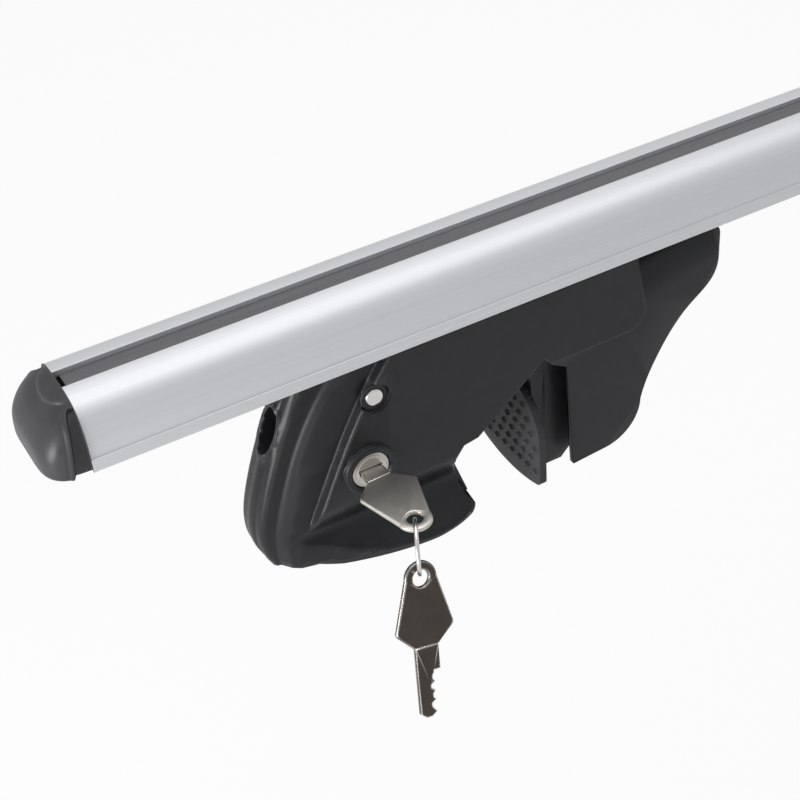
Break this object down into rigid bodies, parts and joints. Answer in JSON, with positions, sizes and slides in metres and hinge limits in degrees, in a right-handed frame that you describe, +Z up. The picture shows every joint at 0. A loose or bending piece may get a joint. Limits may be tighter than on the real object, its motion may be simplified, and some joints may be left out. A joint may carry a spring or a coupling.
{
  "type": "roof rack crossbar",
  "caption": "Aluminium roof rack crossbar with a rubber-lined top slot, end caps, and lockable clamp feet that grip a raised roof rail by a bolt-driven sliding jaw.",
  "frame": {"origin": "middle of the bar's top slot, level with the slot's lips", "axes": "+X along the bar away from the end with the keys, +Y away from the lock side, +Z up"},
  "size_m": [1.23, 0.1077, 0.133],
  "materials": {
    "anodised_aluminium": "satin anodised extrusion",
    "strip_rubber": "matt dark grey rubber",
    "cap_plastic": "satin dark grey moulded plastic",
    "black_plastic": "fine-grained satin black moulding",
    "black_rubber": "matt black rubber",
    "zinc_steel": "zinc-plated steel",
    "bright_steel": "bright steel",
    "nickel": "satin nickel plate",
    "dark_nickel": "nickel plate that reflects a dark surround"
  },
  "bodies": {
    "bar": {"bar_extrusion": "anodised_aluminium", "top_strip": "strip_rubber", "left_end_cap": "cap_plastic", "right_end_cap": "cap_plastic"},
    "left_foot": {"left_front_shell": "black_plastic", "left_rear_shell": "black_plastic", "left_shell_screws": "zinc_steel", "left_bracket": "zinc_steel", "left_slider_plate": "zinc_steel", "left_slider_screws": "zinc_steel", "left_bolt_washer": "zinc_steel", "left_rail_lining": "black_rubber", "left_cross_pin": "bright_steel", "left_lock_housing": "nickel"},
    "left_bolt": {"left_clamp_bolt": "zinc_steel"},
    "left_jaw": {"left_jaw_carriage": "black_plastic", "left_jaw_nut": "zinc_steel", "left_jaw_pad": "black_rubber"},
    "left_lock": {"left_lock_plug": "nickel", "left_lock_cam": "zinc_steel", "left_cam_screw": "zinc_steel"},
    "right_foot": {"right_front_shell": "black_plastic", "right_rear_shell": "black_plastic", "right_shell_screws": "zinc_steel", "right_bracket": "zinc_steel", "right_slider_plate": "zinc_steel", "right_slider_screws": "zinc_steel", "right_bolt_washer": "zinc_steel", "right_rail_lining": "black_rubber", "right_cross_pin": "bright_steel", "right_lock_housing": "nickel"},
    "right_bolt": {"right_clamp_bolt": "zinc_steel"},
    "right_jaw": {"right_jaw_carriage": "black_plastic", "right_jaw_nut": "zinc_steel", "right_jaw_pad": "black_rubber"},
    "right_lock": {"right_lock_plug": "nickel", "right_lock_cam": "zinc_steel", "right_cam_screw": "zinc_steel"},
    "key": {"lock_key": "nickel"},
    "ring": {"key_ring": "bright_steel"},
    "spare": {"spare_key": "dark_nickel"}
  },
  "joints": [
    {"name": "left_foot_slide", "type": "slide", "parent": "bar", "child": "left_foot", "axis": [1, 0, 0], "range_m": [-0.04, 0.15]},
    {"name": "left_bolt_turn", "type": "hinge", "parent": "left_foot", "child": "left_bolt", "pos_m": [-0.485, 0, -0.0522], "axis": [1, 0, 0], "range_deg": [-2882, 2882]},
    {"name": "left_jaw_slide", "type": "slide", "parent": "left_foot", "child": "left_jaw", "axis": [1, 0, 0], "range_m": [-0.01, 0.01]},
    {"name": "left_lock_turn", "type": "hinge", "parent": "left_foot", "child": "left_lock", "pos_m": [-0.5036, -0.0212, -0.0694], "axis": [0, -1, 0], "range_deg": [0, 90]},
    {"name": "right_foot_slide", "type": "slide", "parent": "bar", "child": "right_foot", "axis": [-1, 0, 0], "range_m": [-0.04, 0.15]},
    {"name": "right_bolt_turn", "type": "hinge", "parent": "right_foot", "child": "right_bolt", "pos_m": [0.485, 0, -0.0522], "axis": [1, 0, 0], "range_deg": [-2882, 2882]},
    {"name": "right_jaw_slide", "type": "slide", "parent": "right_foot", "child": "right_jaw", "axis": [1, 0, 0], "range_m": [-0.01, 0.01]},
    {"name": "right_lock_turn", "type": "hinge", "parent": "right_foot", "child": "right_lock", "pos_m": [0.5036, -0.0212, -0.0694], "axis": [0, 1, 0], "range_deg": [0, 90]},
    {"name": "key_pull", "type": "slide", "parent": "left_lock", "child": "key", "axis": [0, -1, 0], "range_m": [0, 0.03]},
    {"name": "ring_swing", "type": "hinge", "parent": "key", "child": "ring", "pos_m": [-0.50567, -0.05656, -0.0714], "axis": [-0.8949, 0.4462, 0], "range_deg": [-24, 60]},
    {"name": "spare_key_swing", "type": "hinge", "parent": "ring", "child": "spare", "pos_m": [-0.50854, -0.06231, -0.08411], "axis": [0.042, -0.9333, 0.3567], "range_deg": [-40, 40]}
  ],
  "couplings": [
    {"joint": "left_bolt_turn", "follows": "left_jaw_slide", "rad_per_m": -5026.5},
    {"joint": "right_bolt_turn", "follows": "right_jaw_slide", "rad_per_m": -5026.5}
  ]
}
